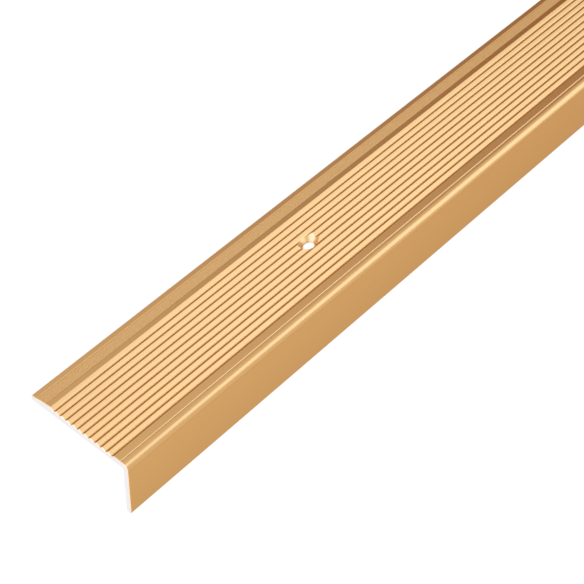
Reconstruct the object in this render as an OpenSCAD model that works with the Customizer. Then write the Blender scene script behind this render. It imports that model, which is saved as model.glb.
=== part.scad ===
// Ribbed stair edge protection profile: an aluminium angle extrusion with a ribbed tread leg,
// a plain riser leg, a rounded nose and countersunk screw holes.
// It lies as it would on a level floor: on the foot of its riser leg and on its back edge.

/* [Stock] */
// Length that the stock is cut to
length = 1000; // [500:50:2500]
// Width of the tread leg, from the riser face to the back edge
tread_width = 43; // [41:0.5:60]
// Height of the riser leg, from the top of the tread to the foot
riser_height = 24.6; // [16:0.2:40]
// Depth of the underside below the rib crests, at the nose
nose_depth = 2.1; // [1.9:0.1:2.8]
// Depth of the underside below the rib crests, at the back edge
back_depth = 3.3; // [2.9:0.1:4]
// Thickness of the riser leg
riser_thickness = 1.7; // [1.2:0.1:2.5]

/* [Nose] */
// Outer radius of the nose
nose_radius = 2.4; // [1:0.1:2.6]
// Radius of the inside corner
inner_radius = 0.6; // [0.2:0.1:2]
// Flat land from the riser face to the first rib groove
nose_land = 6; // [4.5:0.1:6.6]

/* [Ribs] */
// Number of ribs on the tread
rib_count = 11; // [1:1:12]
// Distance from one rib crest to the next
rib_pitch = 2.575; // [2.2:0.025:2.7]
// Height of a rib crest over the bottom of its groove
rib_height = 1.05; // [0.6:0.05:1.4]
// Run of the rib flank that faces the nose
nose_flank_run = 1.5; // [1:0.05:1.7]
// Radius of a rib crest
crest_radius = 0.15; // [0.05:0.05:0.25]
// Radius at the bottom of a rib groove
groove_radius = 0.12; // [0.04:0.02:0.16]

/* [Back edge] */
// Thickness of the tread leg at its back edge
back_thickness = 1.9; // [1.2:0.1:2.5]
// Width of the nearly level strip along the back edge
strip_width = 1.9; // [1:0.1:2.4]
// Rise of that strip from the back edge
strip_rise = 0.12; // [0.05:0.01:0.3]
// Width of the shallow slope behind the last rib
shoulder_width = 1.9; // [1:0.1:2.4]
// Drop of that slope
shoulder_drop = 0.2; // [0.1:0.05:0.4]

/* [Fine edges] */
// Distance of the fine guide groove from the riser face
guide_offset = 3.1; // [2.8:0.1:4]
// Width of the guide groove
guide_width = 0.3; // [0.1:0.05:0.4]
// Depth of the guide groove
guide_depth = 0.15; // [0.05:0.05:0.2]
// Radius of the edges at the foot and at the back
edge_radius = 0.15; // [0.05:0.05:0.3]

/* [Screw holes] */
// Number of screw holes
hole_count = 5; // [2:1:9]
// Distance from each end to its nearest hole
hole_end_distance = 109.5; // [40:0.5:150]
// Distance of the holes from the riser face
hole_offset = 22.3; // [18:0.1:25]
// Diameter of a hole
hole_d = 4; // [3.6:0.1:5.5]
// Diameter of the countersink at the top of the ribs
sink_d = 7.2; // [6.5:0.1:8.4]
// Full angle of the countersink cone
sink_angle = 80; // [75:5:100]

/* [Hidden] */
gold = "#D9A868";
overshoot = 1;
hole_facets = 64;
arc_step = 15;

crest_z = 0;
valley_z = -rib_height;
foot_z = -riser_height;
last_crest_y = nose_land + rib_count * rib_pitch;
back_bottom_z = -back_depth;
back_top_z = back_bottom_z + back_thickness;
inner_corner_z = -nose_depth - (back_depth - nose_depth) * riser_thickness / tread_width;
hole_spacing = (length - 2 * hole_end_distance) / (hole_count - 1);
sink_depth = (sink_d - hole_d) / 2 / tan(sink_angle / 2);

// Corners of the section as [y, z, radius], counter-clockwise from the foot.
// y runs back from the riser face and z up from the rib crests.
function guide_corners(y, z) = [
    [y - guide_width / 2, z, 0],
    [y, z - guide_depth, 0],
    [y + guide_width / 2, z, 0]
];

function rib_corners(k) = [
    [nose_land + k * rib_pitch + (rib_pitch - nose_flank_run), valley_z, groove_radius],
    [nose_land + (k + 1) * rib_pitch, crest_z, crest_radius]
];

foot_corners = [
    [riser_thickness, foot_z, edge_radius],
    [0, foot_z, edge_radius]
];
nose_corners = [
    [0, crest_z, nose_radius],
    each guide_corners(guide_offset, crest_z),
    [nose_land, crest_z, crest_radius]
];
back_corners = [
    [last_crest_y + shoulder_width, crest_z - shoulder_drop, 0],
    [tread_width - strip_width, back_top_z + strip_rise, 0],
    [tread_width, back_top_z, edge_radius],
    [tread_width, back_bottom_z, edge_radius],
    [riser_thickness, inner_corner_z, inner_radius]
];
corners = [
    each foot_corners,
    each nose_corners,
    each [for (k = [0 : rib_count - 1]) each rib_corners(k)],
    each back_corners
];

function unit(v) = v / norm(v);
function flat(corner) = [corner[0], corner[1]];
function turn_between(from, to) = atan2(from[0] * to[1] - from[1] * to[0], from * to);

// Points of one corner: the corner itself, or an arc that is tangent to both of its sides
function corner_points(before, corner, after) =
    corner[2] == 0
        ? [flat(corner)]
        : let (
            to_before = unit(flat(before) - flat(corner)),
            to_after = unit(flat(after) - flat(corner)),
            half_angle = acos(to_before * to_after) / 2,
            reach = corner[2] / tan(half_angle),
            centre = flat(corner) + unit(to_before + to_after) * corner[2] / sin(half_angle),
            first = flat(corner) + to_before * reach - centre,
            last = flat(corner) + to_after * reach - centre,
            turn = turn_between(first, last),
            steps = max(2, ceil(abs(turn) / arc_step))
        )
        [for (i = [0 : steps])
            let (a = turn * i / steps)
            centre + [first[0] * cos(a) - first[1] * sin(a), first[0] * sin(a) + first[1] * cos(a)]
        ];

section = [
    for (i = [0 : len(corners) - 1])
    each corner_points(
        corners[(i + len(corners) - 1) % len(corners)],
        corners[i],
        corners[(i + 1) % len(corners)]
    )
];

// At rest the line under the foot and the back edge lies on the floor
rest_angle = atan2(back_bottom_z - foot_z, tread_width - riser_thickness);
resting_y = [for (p = section) p[0] * cos(rest_angle) + p[1] * sin(rest_angle)];
resting_z = [for (p = section) p[1] * cos(rest_angle) - p[0] * sin(rest_angle)];

module extrusion() {
    translate([-length / 2, 0, 0])
        rotate([90, 0, 90])
            linear_extrude(length)
                polygon(section);
}

module screw_hole() {
    translate([0, 0, back_bottom_z - overshoot])
        cylinder(h = back_depth + 2 * overshoot, d = hole_d, $fn = hole_facets);
    translate([0, 0, crest_z - sink_depth])
        cylinder(
            h = sink_depth + overshoot,
            d1 = hole_d,
            d2 = sink_d + 2 * overshoot * tan(sink_angle / 2),
            $fn = hole_facets
        );
}

module nosing_profile() {
    color(gold)
        translate([0, -(min(resting_y) + max(resting_y)) / 2, -min(resting_z)])
            rotate([-rest_angle, 0, 0])
                difference() {
                    extrusion();
                    for (i = [0 : hole_count - 1])
                        translate([-length / 2 + hole_end_distance + i * hole_spacing, hole_offset, 0])
                            screw_hole();
                }
}

nosing_profile();
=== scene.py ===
"""Looks of a gold anodised edge profile: a ribbed tread leg, a rounded nose and a plain riser leg.

The profile is drawn in its own section, with y running back from the riser face and z up from the
rib crests, then extruded, drilled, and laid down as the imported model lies.
"""

import logging
import math
from collections.abc import Iterable
from dataclasses import dataclass, field
from enum import Enum

import bmesh
import bpy
from mathutils import Euler, Matrix, Vector


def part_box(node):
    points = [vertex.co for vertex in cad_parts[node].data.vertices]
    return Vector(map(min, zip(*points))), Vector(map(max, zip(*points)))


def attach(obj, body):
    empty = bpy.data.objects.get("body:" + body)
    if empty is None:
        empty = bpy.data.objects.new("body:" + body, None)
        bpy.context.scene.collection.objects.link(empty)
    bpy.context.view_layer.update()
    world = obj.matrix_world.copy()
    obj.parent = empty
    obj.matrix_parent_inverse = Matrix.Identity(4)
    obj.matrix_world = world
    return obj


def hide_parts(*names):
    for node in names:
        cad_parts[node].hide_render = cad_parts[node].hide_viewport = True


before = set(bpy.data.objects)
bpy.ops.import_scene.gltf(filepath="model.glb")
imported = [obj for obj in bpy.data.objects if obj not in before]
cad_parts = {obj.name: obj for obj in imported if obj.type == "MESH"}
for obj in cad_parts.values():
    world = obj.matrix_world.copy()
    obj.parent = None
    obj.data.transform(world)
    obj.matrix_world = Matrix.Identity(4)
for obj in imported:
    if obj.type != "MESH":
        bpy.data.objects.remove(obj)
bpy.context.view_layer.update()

LOG = logging.getLogger("edge_profile")
MM = 0.001
NODE = "nosing_profile"
BODY = "root"

Pair = tuple[float, float]
Triple = tuple[float, float, float]
Rgba = tuple[float, float, float, float]


class Finish(Enum):
    """Places of the finishes in the profile's list of materials."""

    ANODISED = 0
    SAWN = 1
    ARRIS = 2
    COUNTERSUNK = 3


@dataclass(frozen=True)
class Corner:
    """A corner of the section.

    Args:
        y: Distance back from the riser face, in mm.
        z: Height over the rib crests, in mm.
        radius: Radius that rounds the corner, in mm.
    """

    y: float
    z: float
    radius: float = 0.0


@dataclass(frozen=True)
class Groove:
    """A fine V-shaped groove drawn along the profile.

    Args:
        width: Width at the surface, in mm.
        depth: Depth under the surface, in mm.
    """

    width: float
    depth: float


@dataclass(frozen=True)
class Section:
    """The extruded section, in mm, from the riser face and the rib crests.

    Args:
        tread_width: Width of the tread leg, from the riser face to the back edge.
        riser_height: Height of the riser leg, from the rib crests to its foot.
        nose_depth: Depth of the underside at the riser face.
        back_depth: Depth of the underside at the back edge.
        riser_thickness: Thickness of the riser leg.
        nose_radius: Outer radius of the nose.
        inner_radius: Radius of the inside corner.
        nose_land: Distance of the first rib groove from the riser face.
        rib_count: Number of ribs.
        rib_pitch: Distance from one rib crest to the next.
        rib_height: Height of a rib crest over the bottom of its groove.
        nose_flank_run: Run of the rib flank that faces the nose.
        crest_radius: Radius of a rib crest.
        valley_radius: Radius at the bottom of a rib groove.
        swell: The corner that swells that flank, back and up from the bottom of its groove.
        swell_radius: Radius that rounds that corner.
        back_thickness: Thickness of the tread leg at its back edge.
        strip_width: Width of the nearly level strip along the back edge.
        strip_rise: Rise of that strip from the back edge.
        shoulder_width: Width of the shallow slope behind the last rib.
        shoulder_drop: Drop of that slope.
        step_run: Run of the small step down from that slope.
        step_drop: Drop of that step.
        fine_count: Number of grooves in the finely grooved strip behind that step.
        fine_depth: Depth of one of them.
        fine_end_rise: Height of that strip's end over the nearly level strip.
        seam: The groove where the two strips meet.
        edge_radius: Radius of the edges at the foot and at the back.
        guide_offset: Distance of the guide groove from the riser face.
        guide: The guide groove along the land behind the nose.
        riser_line_drop: Depth of the riser leg's line below the rib crests.
        riser_line: The faint line along the riser leg.
    """

    tread_width: float = 43.0
    riser_height: float = 24.6
    nose_depth: float = 2.1
    back_depth: float = 3.3
    riser_thickness: float = 1.7
    nose_radius: float = 2.407
    inner_radius: float = 0.6
    nose_land: float = 6.0
    rib_count: int = 11
    rib_pitch: float = 2.575
    rib_height: float = 1.05
    nose_flank_run: float = 1.47
    crest_radius: float = 0.16
    valley_radius: float = 0.12
    swell: Pair = (0.45, 0.41)
    swell_radius: float = 2.2
    back_thickness: float = 1.9
    strip_width: float = 1.9
    strip_rise: float = 0.12
    shoulder_width: float = 1.9
    shoulder_drop: float = 0.2
    step_run: float = 0.16
    step_drop: float = 0.12
    fine_count: int = 14
    fine_depth: float = 0.105
    fine_end_rise: float = 0.15
    seam: Groove = Groove(0.6, 0.22)
    edge_radius: float = 0.15
    guide_offset: float = 3.1
    guide: Groove = Groove(0.5, 0.23)
    riser_line_drop: float = 3.15
    riser_line: Groove = Groove(0.8, 0.06)

    @property
    def rest_angle(self) -> float:
        """Turn about the length that lays the profile on its foot and its back edge."""
        fall = self.riser_height - self.back_depth
        return math.atan2(fall, self.tread_width - self.riser_thickness)

    @property
    def last_crest(self) -> float:
        """Distance of the last rib crest from the riser face."""
        return self.nose_land + self.rib_count * self.rib_pitch

    @property
    def back_top(self) -> float:
        """Height of the back edge's top."""
        return -self.back_depth + self.back_thickness

    def underside(self, y: float) -> float:
        """Height of the underside at a distance back from the riser face."""
        return -self.nose_depth - (self.back_depth - self.nose_depth) * y / self.tread_width

    def foot(self) -> list[Corner]:
        """Draws around the foot of the riser leg, and up its face to the nose.

        Returns:
            The corners there.
        """
        line, drop = self.riser_line, self.riser_line_drop
        return [
            Corner(self.riser_thickness, -self.riser_height, self.edge_radius),
            Corner(0.0, -self.riser_height, self.edge_radius),
            Corner(0.0, -drop - line.width / 2),
            Corner(line.depth, -drop),
            Corner(0.0, -drop + line.width / 2),
            Corner(0.0, 0.0, self.nose_radius),
        ]

    def land(self) -> list[Corner]:
        """Draws the flat land behind the nose, with its guide groove.

        Returns:
            The corners there.
        """
        guide, at = self.guide, self.guide_offset
        return [
            Corner(at - guide.width / 2, 0.0),
            Corner(at, -guide.depth),
            Corner(at + guide.width / 2, 0.0),
            Corner(self.nose_land, 0.0, self.crest_radius),
        ]

    def ribs(self) -> list[Corner]:
        """Draws a groove, a swelling flank and a crest for each rib, from the nose to the back.

        Returns:
            The corners of all the ribs.
        """
        run, rise = self.swell
        corners = []
        for k in range(self.rib_count):
            crest = self.nose_land + (k + 1) * self.rib_pitch
            valley = crest - self.nose_flank_run
            corners += [
                Corner(valley, -self.rib_height, self.valley_radius),
                Corner(valley + run, rise - self.rib_height, self.swell_radius),
                Corner(crest, 0.0, self.crest_radius),
            ]
        return corners

    def fine_strip(self) -> list[Corner]:
        """Draws the finely grooved strip, and the seam that ends it.

        Returns:
            The corners there.
        """
        top = self.back_top + self.strip_rise
        start = self.last_crest + self.shoulder_width + self.step_run
        end = self.tread_width - self.strip_width - self.seam.width
        first = Vector((start, -self.shoulder_drop - self.step_drop))
        last = Vector((end, top + self.fine_end_rise))
        pitch = (last - first) / self.fine_count
        down = Vector((pitch.y, -pitch.x)).normalized() * self.fine_depth
        corners = []
        for k in range(self.fine_count):
            crest = first + pitch * k
            valley = crest + pitch / 2 + down
            corners += [Corner(crest.x, crest.y), Corner(valley.x, valley.y)]
        corners.append(Corner(last.x, last.y))
        corners.append(Corner(last.x + self.seam.width / 2, (last.y + top) / 2 - self.seam.depth))
        return corners

    def back(self) -> list[Corner]:
        """Draws on from the last rib, around the back edge and along the underside.

        Returns:
            The corners there.
        """
        inside = self.underside(self.riser_thickness)
        return [
            Corner(self.last_crest + self.shoulder_width, -self.shoulder_drop),
            *self.fine_strip(),
            Corner(self.tread_width - self.strip_width, self.back_top + self.strip_rise),
            Corner(self.tread_width, self.back_top, self.edge_radius),
            Corner(self.tread_width, -self.back_depth, self.edge_radius),
            Corner(self.riser_thickness, inside, self.inner_radius),
        ]

    def corners(self) -> list[Corner]:
        """All corners, counter-clockwise from the foot as seen from the far end."""
        return self.foot() + self.land() + self.ribs() + self.back()


@dataclass(frozen=True)
class Ring:
    """A level ring of the tool that cuts a screw hole, in mm.

    Args:
        z: Height over the rib crests.
        along: Its half width along the profile.
        across: Its half width across the profile.
        drift: How far its middle lies from the drilled hole's, along and across.
    """

    z: float
    along: float
    across: float
    drift: Pair = (0.0, 0.0)


@dataclass(frozen=True)
class ScrewHole:
    """A drilled hole through the tread leg with an oval countersink, in mm.

    Args:
        offset: Distance of the hole from the riser face.
        end_distance: Distance from each end of the profile to its nearest hole.
        rings: The rings of the tool that cuts it, from the lowest to the highest.
        facets: Number of facets around it.
    """

    offset: float = 22.3
    end_distance: float = 109.5
    rings: tuple[Ring, ...] = (
        Ring(-4.3, 2.27, 1.65, (-0.03, -0.02)),
        Ring(-2.44, 2.27, 1.65, (-0.03, 0.04)),
        Ring(1.0, 5.3, 4.34, (-0.1, 0.44)),
    )
    facets: int = 96

    def draw(self, bm: bmesh.types.BMesh, x: float) -> None:
        """Draws the tool for one hole as a closed skin over its rings.

        Args:
            bm: The mesh that the tool goes into.
            x: Place of the hole along the profile.
        """
        edges = []
        for ring in self.rings:
            middle = Vector((x + ring.drift[0], self.offset + ring.drift[1], ring.z))
            oval = Matrix.Diagonal((ring.along, ring.across, 1.0, 1.0))
            made = bmesh.ops.create_circle(
                bm, segments=self.facets, radius=1.0, matrix=Matrix.Translation(middle) @ oval
            )
            edges.append(self.edges_of(made["verts"]))
        for lower, upper in zip(edges, edges[1:]):
            bmesh.ops.bridge_loops(bm, edges=lower + upper)
        for end in (edges[0], edges[-1]):
            bmesh.ops.contextual_create(bm, geom=end)

    @staticmethod
    def edges_of(loop: list[bmesh.types.BMVert]) -> list[bmesh.types.BMEdge]:
        """Finds the edges of a ring from its corners."""
        inside = set(loop)
        return [e for v in loop for e in v.link_edges if e.verts[0] is v and set(e.verts) <= inside]


def object_of(bm: bmesh.types.BMesh, name: str) -> bpy.types.Object:
    """Makes an object of a mesh in the making, and frees that mesh.

    Args:
        bm: The mesh in the making.
        name: The name of the object and of its mesh.

    Returns:
        The new object, in the scene.
    """
    mesh = bpy.data.meshes.new(name)
    bm.to_mesh(mesh)
    bm.free()
    made = bpy.data.objects.new(name, mesh)
    bpy.context.scene.collection.objects.link(made)
    return made


def set_up(node: bpy.types.Node, **settings: object) -> bpy.types.Node:
    """Sets a node's properties and inputs.

    Args:
        node: The node.
        **settings: Values for its properties, or for its inputs by their names, where
            underscores stand for spaces.

    Returns:
        The same node.
    """
    for name, value in settings.items():
        if hasattr(node, name):
            setattr(node, name, value)
        else:
            node.inputs[name.replace("_", " ")].default_value = value
    return node


def node_of(tree: bpy.types.NodeTree, kind: str, **settings: object) -> bpy.types.Node:
    """Adds a node of a kind to a tree, with its settings as set_up takes them."""
    return set_up(tree.nodes.new(kind), **settings)


def link(
    tree: bpy.types.NodeTree, source: bpy.types.NodeSocket, target: bpy.types.NodeSocket
) -> None:
    """Joins an output to an input."""
    tree.links.new(source, target)


def new_group(
    name: str, inputs: dict[str, float], outputs: Iterable[str]
) -> tuple[bpy.types.NodeTree, bpy.types.Node, bpy.types.Node]:
    """Starts a shader node group of plain numbers.

    Args:
        name: The group's name.
        inputs: The name of each input and the value that it starts from.
        outputs: The name of each output.

    Returns:
        The group's tree, its input node and its output node.
    """
    tree = bpy.data.node_groups.new(name, "ShaderNodeTree")
    for label, value in inputs.items():
        socket = tree.interface.new_socket(label, in_out="INPUT", socket_type="NodeSocketFloat")
        socket.default_value = value
    for label in outputs:
        tree.interface.new_socket(label, in_out="OUTPUT", socket_type="NodeSocketFloat")
    return tree, tree.nodes.new("NodeGroupInput"), tree.nodes.new("NodeGroupOutput")


def math_node(
    tree: bpy.types.NodeTree,
    operation: str,
    first: bpy.types.NodeSocket | float,
    second: bpy.types.NodeSocket | float = 0.0,
) -> bpy.types.NodeSocket:
    """Adds a Math node.

    Args:
        tree: The tree that the node goes into.
        operation: The node's operation.
        first: Its first value or the socket that gives it.
        second: Its second value or the socket that gives it.

    Returns:
        The node's output socket.
    """
    node = node_of(tree, "ShaderNodeMath", operation=operation)
    for place, value in enumerate((first, second)):
        if isinstance(value, bpy.types.NodeSocket):
            link(tree, value, node.inputs[place])
        else:
            node.inputs[place].default_value = value
    return node.outputs[0]


def color_mix(
    tree: bpy.types.NodeTree, share: bpy.types.NodeSocket, first: Rgba, second: Rgba
) -> bpy.types.NodeSocket:
    """Adds a Mix node for two colours.

    Args:
        tree: The tree that the node goes into.
        share: The share of the second colour.
        first: The first colour.
        second: The second colour.

    Returns:
        The node's output socket.
    """
    node = node_of(tree, "ShaderNodeMix", data_type="RGBA")
    link(tree, share, node.inputs[0])
    near, far = (s for s in node.inputs if s.type == "RGBA")
    near.default_value, far.default_value = first, second
    return next(s for s in node.outputs if s.type == "RGBA")


@dataclass(frozen=True)
class SatinGrain:
    """The fine etched grain and the lengthwise die lines of drawn aluminium.

    Args:
        fineness: Scale of the grain, and of the die lines across the profile, to the metre.
        streak_run: Scale of the die lines along the profile, to the metre.
        grain_detail: Detail of the grain's noise.
        streak_detail: Detail of the die lines' noise.
        noise_roughness: Roughness of both noises.
    """

    fineness: float = 2600.0
    streak_run: float = 9.0
    grain_detail: float = 2.0
    streak_detail: float = 3.0
    noise_roughness: float = 0.6

    def noise(
        self, tree: bpy.types.NodeTree, where: bpy.types.NodeSocket, scale: float, detail: float
    ) -> bpy.types.NodeSocket:
        """Adds a noise that varies around 0.

        Args:
            tree: The tree that it goes into.
            where: The coordinates that it follows.
            scale: Its scale on them.
            detail: Its detail.

        Returns:
            The socket that gives it.
        """
        made = node_of(
            tree,
            "ShaderNodeTexNoise",
            Scale=scale,
            Detail=detail,
            Roughness=self.noise_roughness,
        )
        link(tree, where, made.inputs["Vector"])
        return math_node(tree, "SUBTRACT", made.outputs[0], 0.5)

    def build(self) -> bpy.types.NodeTree:
        """Builds the group that every finish shares.

        Returns:
            A group with a Tone mask around 1, a Roughness and a Height.
        """
        tree, given, out = new_group(
            "satin_grain",
            {"Roughness": 0.4, "Grain": 0.03, "Streaks": 0.03},
            ("Tone", "Roughness", "Height"),
        )
        where = tree.nodes.new("ShaderNodeTexCoord").outputs["Object"]
        stretch = (self.streak_run, self.fineness, self.fineness)
        drawn = node_of(tree, "ShaderNodeMapping", Scale=stretch)
        link(tree, where, drawn.inputs["Vector"])
        streak = self.noise(tree, drawn.outputs[0], 1.0, self.streak_detail)
        grain = self.noise(tree, where, self.fineness, self.grain_detail)
        both = math_node(
            tree,
            "ADD",
            math_node(tree, "MULTIPLY", streak, given.outputs["Streaks"]),
            math_node(tree, "MULTIPLY", grain, given.outputs["Grain"]),
        )
        rough = math_node(tree, "ADD", both, given.outputs["Roughness"])
        link(tree, math_node(tree, "ADD", both, 1.0), out.inputs["Tone"])
        link(tree, rough, out.inputs["Roughness"])
        link(tree, both, out.inputs["Height"])
        return tree


@dataclass(frozen=True)
class MetalFinish:
    """A finish of the aluminium.

    Args:
        name: The material's name.
        color: Base colour, linear.
        roughness: Roughness of the metal.
        grain: Strength of the etched grain.
        streaks: Strength of the lengthwise die lines.
        relief: Depth of grain and die lines, in mm.
        coat: Weight of the clear anodic layer.
        coat_roughness: Roughness of that layer.
        edge_tint: Tint of the metal where it is seen at a low angle.
    """

    name: str
    color: Triple
    roughness: float
    grain: float
    streaks: float
    relief: float
    coat: float = 0.0
    coat_roughness: float = 0.3
    edge_tint: Rgba = (1.0, 1.0, 1.0, 1.0)

    def material(self, satin_grain: bpy.types.NodeTree) -> bpy.types.Material:
        """Builds the finish's material.

        Args:
            satin_grain: The shared group of grain and die lines.

        Returns:
            The material.
        """
        made = bpy.data.materials.new(self.name)
        made.use_nodes = True
        tree = made.node_tree
        shader = set_up(
            tree.nodes["Principled BSDF"],
            Metallic=1.0,
            Specular_Tint=self.edge_tint,
            Coat_Weight=self.coat,
            Coat_Roughness=self.coat_roughness,
        )
        effect = node_of(
            tree,
            "ShaderNodeGroup",
            node_tree=satin_grain,
            Roughness=self.roughness,
            Grain=self.grain,
            Streaks=self.streaks,
        )
        tone = node_of(tree, "ShaderNodeVectorMath", operation="SCALE")
        tone.inputs[0].default_value = self.color
        link(tree, effect.outputs["Tone"], tone.inputs["Scale"])
        link(tree, tone.outputs[0], shader.inputs["Base Color"])
        link(tree, effect.outputs["Roughness"], shader.inputs["Roughness"])
        bump = node_of(tree, "ShaderNodeBump", Strength=1.0, Distance=self.relief * MM)
        link(tree, effect.outputs["Height"], bump.inputs["Height"])
        link(tree, bump.outputs[0], shader.inputs["Normal"])
        return made


@dataclass
class EdgeProfile:
    """The profile: its section drawn out to length, sawn off square and drilled.

    Args:
        section: The section that is drawn out.
        hole: One of its screw holes.
        length: Length that the profile is cut to, in mm.
        hole_count: Number of screw holes.
        arc_facets: Facets that round a small corner, and a wide one.
        wide_radius: Radius from which a corner is wide, in mm.
        arris: Width and depth of the broken arris around a sawn end, in mm.
        end_facing: How much of a face's normal runs along the profile, at least, on a sawn end.
        sharp_angle: Angle between two faces from which their edge stays sharp, in degrees.
        flat_lead: How far the larger faces lead the smoothed normals, from 1 to 100.
        rest: How the section's own axes lie in the scene, once lay_down has set it.
    """

    section: Section = Section()
    hole: ScrewHole = ScrewHole()
    length: float = 1000.0
    hole_count: int = 5
    arc_facets: tuple[int, int] = (4, 24)
    wide_radius: float = 1.0
    arris: Pair = (0.35, 0.06)
    end_facing: float = 0.9
    sharp_angle: float = 28.0
    flat_lead: int = 100
    rest: Matrix = field(default_factory=Matrix)

    def hole_places(self) -> list[float]:
        """Distance of each hole from the profile's middle, in mm."""
        reach = self.length / 2 - self.hole.end_distance
        return [-reach + 2 * reach * i / (self.hole_count - 1) for i in range(self.hole_count)]

    def facets_of(self, corner: Corner) -> int:
        """Number of facets that round a corner: more of them where it is wide."""
        few, many = self.arc_facets
        return many if corner.radius >= self.wide_radius else few

    def draw_section(self, bm: bmesh.types.BMesh) -> None:
        """Draws the rounded section as one face at the sawn end.

        Args:
            bm: The empty mesh that the face goes into.
        """
        corners = self.section.corners()
        points = [bm.verts.new((-self.length / 2, c.y, c.z)) for c in corners]
        bm.faces.new(points)
        places = [Vector((c.y, c.z)) for c in corners]
        for i, corner in enumerate(corners):
            if corner.radius == 0.0:
                continue
            before = (places[i - 1] - places[i]).normalized()
            after = (places[(i + 1) % len(places)] - places[i]).normalized()
            bmesh.ops.bevel(
                bm,
                geom=[points[i]],
                offset=corner.radius / math.tan(before.angle(after) / 2),
                offset_type="OFFSET",
                affect="VERTICES",
                segments=self.facets_of(corner),
                profile=0.5,
                material=-1,
            )

    def extrude(self, bm: bmesh.types.BMesh) -> None:
        """Draws the section out to length and breaks the arrises of both sawn ends.

        Args:
            bm: The mesh that holds the section's face.
        """
        width = self.arris[0]
        face = bm.faces[:]
        inner = []
        for step in (width, self.length - 2 * width, width):
            made = bmesh.ops.extrude_face_region(bm, geom=face)["geom"]
            face = [g for g in made if isinstance(g, bmesh.types.BMFace)]
            moved = [g for g in made if isinstance(g, bmesh.types.BMVert)]
            bmesh.ops.translate(bm, verts=moved, vec=(step, 0.0, 0.0))
            inner += face
        bmesh.ops.delete(bm, geom=inner[:-1], context="FACES_ONLY")
        bmesh.ops.recalc_face_normals(bm, faces=bm.faces[:])
        for end in [f for f in bm.faces if abs(f.normal.x) > self.end_facing]:
            self.break_arris(end)
        self.sort_faces(bm)

    @staticmethod
    def sort_faces(bm: bmesh.types.BMesh) -> None:
        """Sorts the faces by their first two corners, so that each run gives the same mesh.

        Args:
            bm: The mesh, whose faces come from the extrusion in no fixed order.
        """
        bm.verts.index_update()
        count = len(bm.verts)
        bm.faces.sort(key=lambda f: f.verts[0].index * count + f.verts[1].index)

    def break_arris(self, end: bmesh.types.BMFace) -> None:
        """Breaks the arris around a sawn end down to bare metal.

        Args:
            end: The sawn face.
        """
        end.material_index = Finish.SAWN.value
        moves = []
        for vert in end.verts:
            sides = [f for f in vert.link_faces if f is not end]
            for side in sides:
                side.material_index = Finish.ARRIS.value
            outward = sum((f.normal for f in sides), Vector()).normalized()
            moves.append((vert, outward * self.arris[1]))
        for vert, move in moves:
            vert.co -= move

    def cutter(self) -> bpy.types.Object:
        """Builds the tool that cuts all the screw holes.

        Returns:
            The tool as one object.
        """
        bm = bmesh.new()
        for x in self.hole_places():
            self.hole.draw(bm, x)
        bmesh.ops.recalc_face_normals(bm, faces=bm.faces[:])
        for face in bm.faces:
            face.material_index = Finish.COUNTERSUNK.value
        return object_of(bm, "countersink")

    def drill(self, blank: bpy.types.Object) -> None:
        """Drills and countersinks the screw holes.

        Args:
            blank: The extruded profile, which gets the cut mesh.
        """
        tool = self.cutter()
        for material in blank.data.materials:
            tool.data.materials.append(material)
        cut = blank.modifiers.new(tool.name, "BOOLEAN")
        cut.operation, cut.solver, cut.object = "DIFFERENCE", "EXACT", tool
        shown = blank.evaluated_get(bpy.context.evaluated_depsgraph_get())
        mesh = bpy.data.meshes.new_from_object(shown)
        blank.modifiers.clear()
        blank.data = mesh
        blank.data.name = blank.name
        bpy.data.objects.remove(tool)

    def lay_down(self, piece: bpy.types.Object) -> None:
        """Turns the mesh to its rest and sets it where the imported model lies.

        Args:
            piece: The profile, in its section's own axes and in mm.
        """
        turn = Matrix.Rotation(-self.section.rest_angle, 4, "X") @ Matrix.Scale(MM, 4)
        turned = [turn @ v.co for v in piece.data.vertices]
        low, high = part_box(NODE)
        y = [p.y for p in turned]
        middle = (low.y + high.y - min(y) - max(y)) / 2
        self.rest = Matrix.Translation((0.0, middle, low.z - min(p.z for p in turned))) @ turn
        piece.data.transform(self.rest)

    def smooth(self, piece: bpy.types.Object) -> None:
        """Shades the arcs smooth, and keeps the arrises sharp and the flats even.

        Args:
            piece: The profile.
        """
        piece.data.shade_smooth()
        piece.data.set_sharp_from_angle(angle=math.radians(self.sharp_angle))
        even = piece.modifiers.new("even_flats", "WEIGHTED_NORMAL")
        even.keep_sharp = True
        even.weight = self.flat_lead

    def build(self, finishes: Iterable[bpy.types.Material]) -> bpy.types.Object:
        """Builds the profile.

        Args:
            finishes: Its materials, in the order of Finish.

        Returns:
            The profile as one object.
        """
        bm = bmesh.new()
        self.draw_section(bm)
        self.extrude(bm)
        piece = object_of(bm, "edge_profile")
        for finish in finishes:
            piece.data.materials.append(finish)
        bpy.context.view_layer.update()
        self.drill(piece)
        self.lay_down(piece)
        self.smooth(piece)
        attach(piece, BODY)
        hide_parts(NODE)
        return piece


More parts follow.
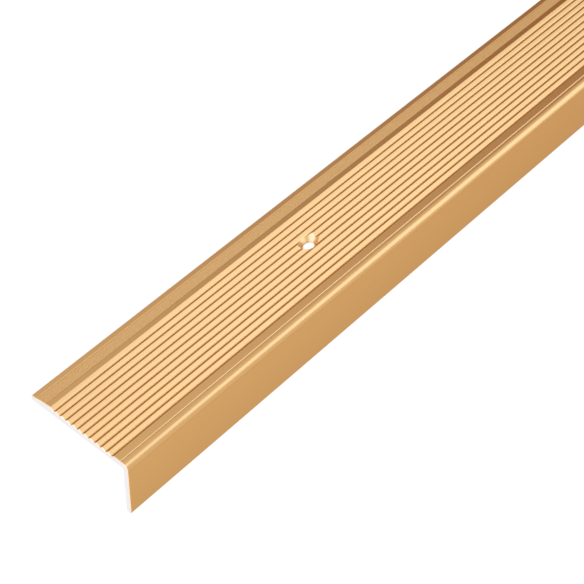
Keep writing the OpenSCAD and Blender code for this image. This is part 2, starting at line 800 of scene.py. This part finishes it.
@dataclass(frozen=True)
class Softbox:
    """A rectangular soft lamp.

    Args:
        name: The lamp's name.
        towards: Direction from the object to the lamp.
        distance: Distance from the object, in m.
        size: Its two sides, in m.
        along: Direction that the first side follows as nearly as it can.
        radiance: Brightness of its face, where 1 is white.
        color: Its colour.
        aim: The point that it faces.
    """

    name: str
    towards: Triple
    distance: float
    size: Pair
    along: Triple
    radiance: float
    color: Triple
    aim: Triple = (-0.38, 0.0, 0.015)

    def build(self) -> None:
        """Builds the lamp, facing the object."""
        data = bpy.data.lights.new(self.name, "AREA")
        data.shape = "RECTANGLE"
        data.size, data.size_y = self.size
        data.energy = self.radiance * math.pi * data.size * data.size_y
        data.color = self.color
        lamp = bpy.data.objects.new(self.name, data)
        way = Vector(self.towards).normalized()
        second = way.cross(Vector(self.along)).normalized()
        turn = Matrix((second.cross(way), second, way)).transposed()
        lamp.location = Vector(self.aim) + way * self.distance
        lamp.rotation_euler = turn.to_euler()
        bpy.context.scene.collection.objects.link(lamp)


@dataclass(frozen=True)
class ShadeSide:
    """The unlit side of the studio, which shows as a soft shade in reflections.

    Args:
        towards: Direction from the object to its middle.
        reach: Angle from its middle at which it fades out, in degrees.
        core: Angle from its middle within which it is darkest, in degrees.
        color: Its colour there.
    """

    towards: Triple = (0.907, 0.329, -0.264)
    reach: float = 58.0
    core: float = 40.0
    color: Rgba = (0.3, 0.1, 0.02, 1.0)

    def mask(self, tree: bpy.types.NodeTree) -> bpy.types.NodeSocket:
        """Adds the nodes that find the unlit side from a direction.

        Args:
            tree: The surround's tree.

        Returns:
            The socket that gives its share in each direction.
        """
        where = tree.nodes.new("ShaderNodeTexCoord").outputs["Generated"]
        along = node_of(tree, "ShaderNodeVectorMath", operation="DOT_PRODUCT")
        along.inputs[1].default_value = Vector(self.towards).normalized()
        link(tree, where, along.inputs[0])
        angle = math_node(tree, "ARCCOSINE", along.outputs["Value"])
        start, end = math.radians(self.reach), math.radians(self.core)
        fade = node_of(tree, "ShaderNodeMapRange", From_Min=start, From_Max=end)
        link(tree, angle, fade.inputs["Value"])
        return fade.outputs[0]


@dataclass(frozen=True)
class ContactShade:
    """How the floor's mirror image darkens towards the riser leg's foot and stays so behind it.

    Args:
        start: Where it begins to darken in front of the riser leg, as a y in m.
        end: Where it is darkest, as a y in m.
        depth: The share of its brightness that it loses there.
    """

    start: float = -0.055
    end: float = -0.022
    depth: float = 0.13

    def strength(self, tree: bpy.types.NodeTree) -> bpy.types.NodeSocket:
        """Adds the nodes that find the mirror image's brightness from a place on the floor.

        Args:
            tree: The floor's tree.

        Returns:
            The socket that gives it.
        """
        place = tree.nodes.new("ShaderNodeSeparateXYZ")
        link(tree, tree.nodes.new("ShaderNodeTexCoord").outputs["Object"], place.inputs[0])
        fall = node_of(
            tree,
            "ShaderNodeMapRange",
            From_Min=self.start,
            From_Max=self.end,
            To_Min=1.0,
            To_Max=1.0 - self.depth,
        )
        link(tree, place.outputs["Y"], fall.inputs["Value"])
        return fall.outputs[0]


def seen_directly(tree: bpy.types.NodeTree, path: bpy.types.NodeOutputs) -> bpy.types.NodeSocket:
    """Share of the rays that come from the camera itself or through something clear."""
    return math_node(tree, "MAXIMUM", path["Is Camera Ray"], path["Is Transmission Ray"])


@dataclass(frozen=True)
class Studio:
    """Pale floor, white surround with one unlit side, soft lamps and the camera.

    Args:
        floor_size: Side of the floor, in m.
        floor_color: Its colour in the light.
        white: The white that the camera sees instead of the floor.
        camera_glow: How far that white covers the floor's own colour and shadow.
        mirror_color: Colour of the floor in reflections.
        contact: How that colour darkens at the object.
        surround: Strength of the surround as a light on the object.
        surround_color: Its colour.
        shade: Its unlit side.
        lamps: The soft lamps.
        viewpoint: Place of the camera in the section's axes, from the near end, in mm.
        view_turn: Turn of the camera in those axes, in degrees.
        lens: Focal length, in mm.
        sensor: Width of the camera's sensor, in mm.
        shift: Shift of the frame, in widths of it.
        clip: Nearest and farthest distance that the camera sees, in m.
    """

    floor_size: float = 8.0
    floor_color: Rgba = (0.9, 0.9, 0.9, 1.0)
    white: Rgba = (1.03, 1.03, 1.03, 1.0)
    camera_glow: float = 0.95
    mirror_color: Rgba = (1.12, 1.09, 1.14, 1.0)
    contact: ContactShade = ContactShade()
    surround: float = 0.8
    surround_color: Rgba = (1.0, 1.0, 1.1, 1.0)
    shade: ShadeSide = ShadeSide()
    lamps: tuple[Softbox, ...] = (
        Softbox(
            name="key_softbox",
            towards=(0.687, -0.384, 0.618),
            distance=1.6,
            size=(2.33, 1.1),
            along=(0.685, -0.392, -0.656),
            radiance=1.68,
            color=(0.43, 0.6, 1.0),
        ),
        Softbox(
            name="fill_softbox",
            towards=(-0.81, 0.13, 0.57),
            distance=1.6,
            size=(2.9, 1.5),
            along=(0.3, -0.8, 0.53),
            radiance=2.6,
            color=(0.47, 0.48, 1.0),
        ),
    )
    viewpoint: Triple = (-208.2309, -240.9797, 431.1793)
    view_turn: Triple = (42.01401, -1.18973, -48.32742)
    lens: float = 107.308
    sensor: float = 36.0
    shift: Pair = (-0.000856, 0.000856)
    clip: Pair = (0.01, 50.0)

    def floor_material(self) -> bpy.types.Material:
        """Builds the floor's material, which reads as white and keeps a soft shadow.

        Returns:
            The material.
        """
        made = bpy.data.materials.new("studio_floor")
        made.use_nodes = True
        tree = made.node_tree
        shader = set_up(
            tree.nodes["Principled BSDF"],
            Base_Color=self.floor_color,
            Roughness=1.0,
            Specular_IOR_Level=0.0,
        )
        path = tree.nodes.new("ShaderNodeLightPath").outputs
        glossy = path["Is Glossy Ray"]
        glow = tree.nodes.new("ShaderNodeEmission")
        link(tree, color_mix(tree, glossy, self.white, self.mirror_color), glow.inputs["Color"])
        strength = math_node(tree, "POWER", self.contact.strength(tree), glossy)
        link(tree, strength, glow.inputs["Strength"])
        seen = math_node(tree, "MULTIPLY", seen_directly(tree, path), self.camera_glow)
        mix = tree.nodes.new("ShaderNodeMixShader")
        link(tree, math_node(tree, "MAXIMUM", glossy, seen), mix.inputs[0])
        link(tree, shader.outputs[0], mix.inputs[1])
        link(tree, glow.outputs[0], mix.inputs[2])
        link(tree, mix.outputs[0], tree.nodes["Material Output"].inputs["Surface"])
        return made

    def build_floor(self) -> None:
        """Builds the floor."""
        bm = bmesh.new()
        bmesh.ops.create_grid(bm, x_segments=1, y_segments=1, size=self.floor_size / 2)
        floor = object_of(bm, "studio_floor")
        floor.data.materials.append(self.floor_material())

    def build_surround(self) -> None:
        """Sets the world: white to look at, and a plain level of light on the object."""
        world = bpy.data.worlds.new("studio_surround")
        world.use_nodes = True
        tree = world.node_tree
        background = tree.nodes["Background"]
        path = tree.nodes.new("ShaderNodeLightPath").outputs
        glossy = path["Is Glossy Ray"]
        seen = math_node(tree, "MAXIMUM", seen_directly(tree, path), glossy)
        lift = math_node(tree, "MULTIPLY", seen, 1.0 - self.surround)
        strength = math_node(tree, "ADD", lift, self.surround)
        link(tree, strength, background.inputs["Strength"])
        share = math_node(tree, "MULTIPLY", glossy, self.shade.mask(tree))
        color = color_mix(tree, share, self.surround_color, self.shade.color)
        link(tree, color, background.inputs["Color"])
        bpy.context.scene.world = world

    def build_camera(self, profile: EdgeProfile) -> None:
        """Sets the camera at the photograph's viewpoint.

        Args:
            profile: The profile at rest.
        """
        data = bpy.data.cameras.new("camera")
        data.lens, data.sensor_width = self.lens, self.sensor
        data.clip_start, data.clip_end = self.clip
        data.shift_x, data.shift_y = self.shift
        camera = bpy.data.objects.new("camera", data)
        near_end = Vector((-profile.length / 2, 0.0, 0.0))
        camera.location = profile.rest @ (Vector(self.viewpoint) + near_end)
        turn = Euler([math.radians(a) for a in self.view_turn]).to_matrix()
        camera.rotation_euler = (profile.rest.to_3x3().normalized() @ turn).to_euler()
        bpy.context.scene.collection.objects.link(camera)
        bpy.context.scene.camera = camera

    def build(self, profile: EdgeProfile) -> None:
        """Builds the whole studio.

        Args:
            profile: The profile at rest, which the camera is placed from.
        """
        self.build_floor()
        self.build_surround()
        for lamp in self.lamps:
            lamp.build()
        self.build_camera(profile)
        bpy.context.scene.view_settings.view_transform = "Standard"


FINISHES = {
    Finish.ANODISED: MetalFinish(
        name="gold_anodised",
        color=(0.67, 0.4, 0.15),
        roughness=0.3,
        grain=0.02,
        streaks=0.04,
        relief=0.002,
        edge_tint=(0.63, 0.48, 0.42, 1.0),
    ),
    Finish.SAWN: MetalFinish(
        name="sawn_aluminium",
        color=(0.9, 0.89, 0.84),
        roughness=0.5,
        grain=0.01,
        streaks=0.0,
        relief=0.001,
    ),
    Finish.ARRIS: MetalFinish(
        name="broken_arris",
        color=(1.0, 0.8, 0.48),
        roughness=0.5,
        grain=0.02,
        streaks=0.0,
        relief=0.002,
    ),
    # The hole walls are the same anodised gold. This lighter gold is painted highlight that
    # brightens them towards the lamp's reflection, and its clear coat adds real reflections.
    Finish.COUNTERSUNK: MetalFinish(
        name="countersunk_lit_gold",
        color=(0.72, 0.46, 0.18),
        roughness=0.38,
        grain=0.02,
        streaks=0.0,
        relief=0.002,
        coat=0.3,
        coat_roughness=0.2,
    ),
}


def main() -> None:
    """Builds the profile and its studio, and reports each piece."""
    logging.basicConfig(level=logging.INFO, format="%(name)s: %(message)s")
    satin_grain = SatinGrain().build()
    profile = EdgeProfile()
    piece = profile.build(FINISHES[place].material(satin_grain) for place in Finish)
    LOG.info("%s: %d faces", piece.name, len(piece.data.polygons))
    Studio().build(profile)
    LOG.info("studio: floor, surround, lamps and camera")


if __name__ == "__main__":
    main()
